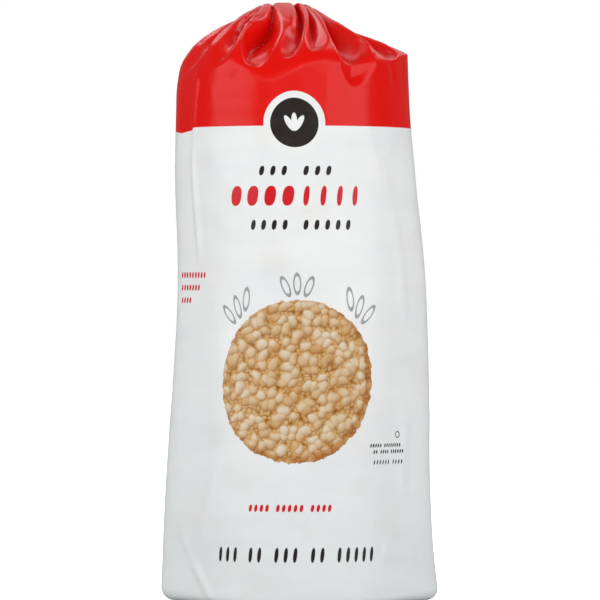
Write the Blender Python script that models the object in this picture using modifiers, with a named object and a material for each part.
"""A gathered film pack of puffed rice cakes, standing upright on its folded base.

The film is wrapped round a stack of round cakes, so a level section of the pack is a circle with a
pointed fin at each side. The fins grow towards the base, where the film is folded flat. Above the
stack the film runs up a low hood into a pleated neck, which a wire tie holds and which lies back
over the pack with its tail spread.

Frame: metres, +Z up, the front of the pack faces -Y, the origin is the middle of the base.
"""

import math

import bmesh
import bpy
from mathutils import Matrix, Vector

MM = 0.001

# The pack's own size
PACK_HEIGHT = 268 * MM
CAKE_RADIUS = 50 * MM
BASE_HALF_WIDTH = 61.3 * MM
SHOULDER_HALF_WIDTH = 52 * MM
SHOULDER_Z = 232 * MM
BASE_FLARE = 1.2 * MM
BASE_FLARE_HEIGHT = 15 * MM
BASE_EDGE_RADIUS = 5 * MM
TOP_LEAN = -3.4 * MM
LEAN_START_Z = 135 * MM

# How sharply the film turns at the tip of a fin, as an angle round the section
FIN_SOFTNESS_AT_BASE = 0.10
FIN_SOFTNESS_AT_SHOULDER = 0.24

# Where the upright wall ends and the hood begins, by side
WALL_TOP_LEFT = 224 * MM
WALL_TOP_RIGHT = 244 * MM
WALL_TOP_FRONT = 235 * MM
WALL_TOP_BACK = 229 * MM
LEVEL_RINGS_END_Z = 196 * MM

# How far the film still climbs upright before it turns on to the hood, by side
TURN_LEFT = 26 * MM
TURN_RIGHT = 2 * MM
TURN_FRONT = 13 * MM
TURN_BACK = 11 * MM

# The gathered neck and its tail
NECK_RADIUS = 10 * MM
NECK_HALF_WIDTH = 16 * MM
NECK_SQUARENESS = 0.67
NECK_CENTRE = Vector((-7 * MM, 8 * MM, PACK_HEIGHT - NECK_RADIUS))
NECK_START_TILT = math.radians(84)
TAIL_END_TILT = math.radians(148)
NECK_APPROACH = 9 * MM
SPREAD_LEFT = 0.55
SPREAD_RIGHT = 0.14
SPREAD_FRONT = 0.18
SPREAD_BACK = 0.15
NECK_DROP = 0.10
TIE_STATION = 14 * MM
TIED_HALF_LENGTH = 3 * MM
TIE_RADIUS = 7 * MM
TAIL_END_STATION = 58 * MM
TAIL_HALF_WIDTH = 25 * MM
TAIL_HALF_THICKNESS = 3.6 * MM
PLEATS = 10
PLEAT_DEPTH = 0.20

# The wire tie
TIE_GAP = 0.3 * MM
TIE_THICKNESS = 0.9 * MM
TIE_WIDTH = 4 * MM
TIE_END_LENGTH = 13 * MM
TIE_END_TURNS = 1.5

# How finely the film is divided
POINTS_ROUND = 80
BASE_EDGE_RINGS = 4
WALL_RINGS = 15
TOP_WALL_RINGS = 4
HOOD_RINGS = 10
TAIL_RINGS = 15


def smoothstep(x):
    x = min(1.0, max(0.0, x))
    return x * x * (3 - 2 * x)


def mix(a, b, share):
    return a + (b - a) * share


def by_side(angle, right, left, front, back):
    """A value that belongs to the four sides, blended smoothly round the pack."""
    across = math.cos(angle) ** 2
    side = right if math.cos(angle) > 0 else left
    face = back if math.sin(angle) > 0 else front
    return mix(face, side, across**2)


def half_width(z):
    """From the middle of a level section to the tip of either fin."""
    taper = mix(BASE_HALF_WIDTH, SHOULDER_HALF_WIDTH, z / SHOULDER_Z)
    return taper + BASE_FLARE * math.exp(-z / BASE_FLARE_HEIGHT)


def section_middle(z):
    return TOP_LEAN * smoothstep((z - LEAN_START_Z) / (SHOULDER_Z - LEAN_START_Z))


def section_radius(z, angle):
    """The film hugs the cakes, and leaves them on a straight tangent to the tip of each fin."""
    leaves_at = math.acos(min(1.0, CAKE_RADIUS / half_width(z)))
    softness = mix(FIN_SOFTNESS_AT_BASE, FIN_SOFTNESS_AT_SHOULDER, z / SHOULDER_Z)
    from_tip = math.asin(abs(math.sin(angle))) if math.cos(angle) else math.pi / 2
    rounded = math.hypot(from_tip, softness) - softness
    return CAKE_RADIUS / math.cos(max(0.0, leaves_at - rounded))


def wall_point(z, angle, inset=0.0):
    radius = section_radius(z, angle) - inset
    return Vector((section_middle(z) + radius * math.cos(angle), radius * math.sin(angle), z))


def wall_top(angle):
    return by_side(angle, WALL_TOP_RIGHT, WALL_TOP_LEFT, WALL_TOP_FRONT, WALL_TOP_BACK)


def neck_axis(tilt):
    """The neck's direction, and the direction in its section that faces away from the front."""
    return Vector((0, math.sin(tilt), math.cos(tilt))), Vector((0, math.cos(tilt), -math.sin(tilt)))


def tail_stations(count):
    """Points along the middle of the neck and tail: place, tilt and distance from the neck's start."""
    stations = [(NECK_CENTRE.copy(), NECK_START_TILT, 0.0)]
    step = TAIL_END_STATION / count
    for i in range(count):
        place, tilt, distance = stations[-1]
        along, _ = neck_axis(tilt)
        distance += step
        tilt = mix(NECK_START_TILT, TAIL_END_TILT, smoothstep(distance / TAIL_END_STATION))
        stations.append((place + along * step, tilt, distance))
    return stations


def pleat(angle, depth):
    """The share of a section's radius that a pleat leaves, from 1 on its crest."""
    wave = 0.5 - 0.5 * math.cos(PLEATS * angle + 0.9 * math.sin(2 * angle))
    return 1 - depth * wave


def neck_offset(angle, away, half_wide, half_thick, squareness):
    """A point of the neck's outline, which lies between an ellipse (1) and a rectangle (0)."""
    cosine, sine = math.cos(angle), math.sin(angle)
    across = math.copysign(abs(cosine) ** squareness, cosine) * half_wide
    through = math.copysign(abs(sine) ** squareness, sine) * half_thick
    return Vector((across, 0, 0)) + away * through


def hood_point(angle, climb):
    """From the top of the wall (climb 0) to the neck (climb 1), along one smooth curve."""
    foot = wall_point(wall_top(angle), angle)
    turn = by_side(angle, TURN_RIGHT, TURN_LEFT, TURN_FRONT, TURN_BACK)
    along, away = neck_axis(NECK_START_TILT)
    top = NECK_CENTRE + neck_offset(angle, away, NECK_HALF_WIDTH, NECK_RADIUS, NECK_SQUARENESS)
    turned = foot + Vector((0, 0, turn))
    pull = by_side(angle, SPREAD_RIGHT, SPREAD_LEFT, SPREAD_FRONT, SPREAD_BACK)
    to_foot = foot - top
    spread = Vector((to_foot.x * pull, to_foot.y * pull, to_foot.z * NECK_DROP))
    arriving = top - along * NECK_APPROACH + spread
    rest = 1 - climb
    return (
        foot * rest**3
        + turned * 3 * rest**2 * climb
        + arriving * 3 * rest * climb**2
        + top * climb**3
    )


def hood_ring(angles, climb):
    points = [hood_point(angle, climb) for angle in angles]
    middle = sum(points, Vector()) / len(points)
    depth = PLEAT_DEPTH * smoothstep((climb - 0.15) / 0.85)
    return [middle + (p - middle) * pleat(a, depth) for p, a in zip(points, angles)]


def tail_ring(angles, station):
    """The neck narrows to the tie, and beyond it the tail spreads flat."""
    place, tilt, distance = station
    _, away = neck_axis(tilt)
    if distance <= TIE_STATION:
        narrowing = smoothstep(distance / (TIE_STATION - TIED_HALF_LENGTH))
        half_wide = mix(NECK_HALF_WIDTH, TIE_RADIUS, narrowing)
        half_thick = mix(NECK_RADIUS, TIE_RADIUS, narrowing)
        squareness = mix(NECK_SQUARENESS, 1, narrowing)
        depth = mix(PLEAT_DEPTH, PLEAT_DEPTH / 2, narrowing)
    else:
        free_from = TIE_STATION + TIED_HALF_LENGTH
        spread = max(0.0, distance - free_from) / (TAIL_END_STATION - free_from)
        half_wide = mix(TIE_RADIUS, TAIL_HALF_WIDTH, smoothstep(spread * 0.95))
        half_thick = mix(TIE_RADIUS, TAIL_HALF_THICKNESS, smoothstep(spread * 1.4))
        squareness = 1
        depth = mix(PLEAT_DEPTH / 2, PLEAT_DEPTH * 1.2, spread)
    ring = []
    for angle in angles:
        offset = neck_offset(angle, away, half_wide, half_thick, squareness)
        ring.append(place + offset * pleat(angle, depth))
    return ring


def film_rings():
    angles = [2 * math.pi * i / POINTS_ROUND for i in range(POINTS_ROUND)]
    rings = []
    for i in range(BASE_EDGE_RINGS):
        turn = i / BASE_EDGE_RINGS * math.pi / 2
        z = BASE_EDGE_RADIUS * (1 - math.cos(turn))
        inset = BASE_EDGE_RADIUS * (1 - math.sin(turn))
        rings.append([wall_point(z, a, inset) for a in angles])
    for i in range(WALL_RINGS):
        z = mix(BASE_EDGE_RADIUS, LEVEL_RINGS_END_Z, i / (WALL_RINGS - 1))
        rings.append([wall_point(z, a) for a in angles])
    for i in range(1, TOP_WALL_RINGS):
        share = i / TOP_WALL_RINGS
        rings.append([wall_point(mix(LEVEL_RINGS_END_Z, wall_top(a), share), a) for a in angles])
    for i in range(HOOD_RINGS):
        rings.append(hood_ring(angles, i / HOOD_RINGS))
    for station in tail_stations(TAIL_RINGS):
        rings.append(tail_ring(angles, station))
    return rings


def loft(name, rings, collection):
    """One closed body through rings of equal count, with a flat cap on the first and the last."""
    mesh = bpy.data.meshes.new(name)
    shape = bmesh.new()
    rows = [[shape.verts.new(point) for point in ring] for ring in rings]
    count = len(rows[0])
    for lower, upper in zip(rows, rows[1:]):
        for i in range(count):
            after = (i + 1) % count
            shape.faces.new((lower[i], lower[after], upper[after], upper[i]))
    shape.faces.new(list(reversed(rows[0])))
    shape.faces.new(rows[-1])
    bmesh.ops.recalc_face_normals(shape, faces=shape.faces[:])
    shape.to_mesh(mesh)
    shape.free()
    mesh.shade_smooth()
    mesh.set_sharp_from_angle(angle=math.radians(50))
    made = bpy.data.objects.new(name, mesh)
    collection.objects.link(made)
    return made


def paint(piece, name, colour, roughness):
    material = bpy.data.materials.new(name)
    material.use_nodes = True
    surface = material.node_tree.nodes["Principled BSDF"]
    surface.inputs["Base Color"].default_value = (*colour, 1)
    surface.inputs["Roughness"].default_value = roughness
    surface.inputs["Metallic"].default_value = 0
    piece.data.materials.append(material)


def move_to(piece, collection):
    for holder in list(piece.users_collection):
        holder.objects.unlink(piece)
    collection.objects.link(piece)


def tie_band(collection):
    """A flat band, turned about Z from its rectangular profile."""
    inner = TIE_RADIUS + TIE_GAP
    outer = inner + TIE_THICKNESS
    half = TIE_WIDTH / 2
    profile = bmesh.new()
    corners = [(outer, half), (outer, -half), (inner, -half), (inner, half)]
    points = [profile.verts.new((x, 0, z)) for x, z in corners]
    for i, point in enumerate(points):
        profile.edges.new((point, points[(i + 1) % len(points)]))
    mesh = bpy.data.meshes.new("neck_tie")
    profile.to_mesh(mesh)
    profile.free()
    band = bpy.data.objects.new("neck_tie", mesh)
    collection.objects.link(band)
    turning = band.modifiers.new("turn", "SCREW")
    turning.steps = turning.render_steps = 40
    turning.use_merge_vertices = True
    turning.merge_threshold = 0.00001
    return band


def twisted_end(collection, cutters):
    """The two ends of the tie twisted together: a flat strip wound about its length."""
    bpy.ops.mesh.primitive_cube_add(size=1)
    strip = bpy.context.object
    strip.name = "tie_end"
    strip.scale = (TIE_WIDTH * 0.8, TIE_THICKNESS * 1.6, TIE_END_LENGTH)
    bpy.ops.object.transform_apply(location=False, rotation=False, scale=True)
    shape = bmesh.new()
    shape.from_mesh(strip.data)
    long_edges = [e for e in shape.edges if abs(e.verts[0].co.z - e.verts[1].co.z) > TIE_WIDTH]
    bmesh.ops.subdivide_edges(shape, edges=long_edges, cuts=14, use_grid_fill=True)
    for vert in shape.verts:
        share = vert.co.z / TIE_END_LENGTH + 0.5
        vert.co = Matrix.Rotation(2 * math.pi * TIE_END_TURNS * share, 3, "Z") @ vert.co
    shape.to_mesh(strip.data)
    shape.free()
    strip.rotation_euler = (0, math.pi / 2, 0)
    strip.location = (TIE_RADIUS + TIE_GAP + TIE_THICKNESS * 0.4 + TIE_END_LENGTH / 2, 0, 0)
    strip.hide_render = True
    strip.display_type = "WIRE"
    move_to(strip, cutters)
    return strip


def build_tie(collection, cutters):
    band = tie_band(collection)
    strip = twisted_end(collection, cutters)
    join = band.modifiers.new("join end", "BOOLEAN")
    join.operation = "UNION"
    join.object = strip
    place, tilt, _ = min(tail_stations(60), key=lambda s: abs(s[2] - TIE_STATION))
    seat = bpy.data.objects.new("tie_seat", None)
    seat.location = place
    seat.rotation_euler = (-tilt, 0, 0)
    collection.objects.link(seat)
    band.parent = seat
    strip.parent = seat
    return band


def main():
    for old in list(bpy.data.objects):
        bpy.data.objects.remove(old)
    pack = bpy.data.collections.new("rice cake pack")
    cutters = bpy.data.collections.new("helpers")
    bpy.context.scene.collection.children.link(pack)
    bpy.context.scene.collection.children.link(cutters)
    film = loft("film_bag", film_rings(), pack)
    paint(film, "printed film", (0.80, 0.80, 0.80), 0.38)
    tie = build_tie(pack, cutters)
    paint(tie, "coated wire tie", (0.85, 0.85, 0.83), 0.45)


main()
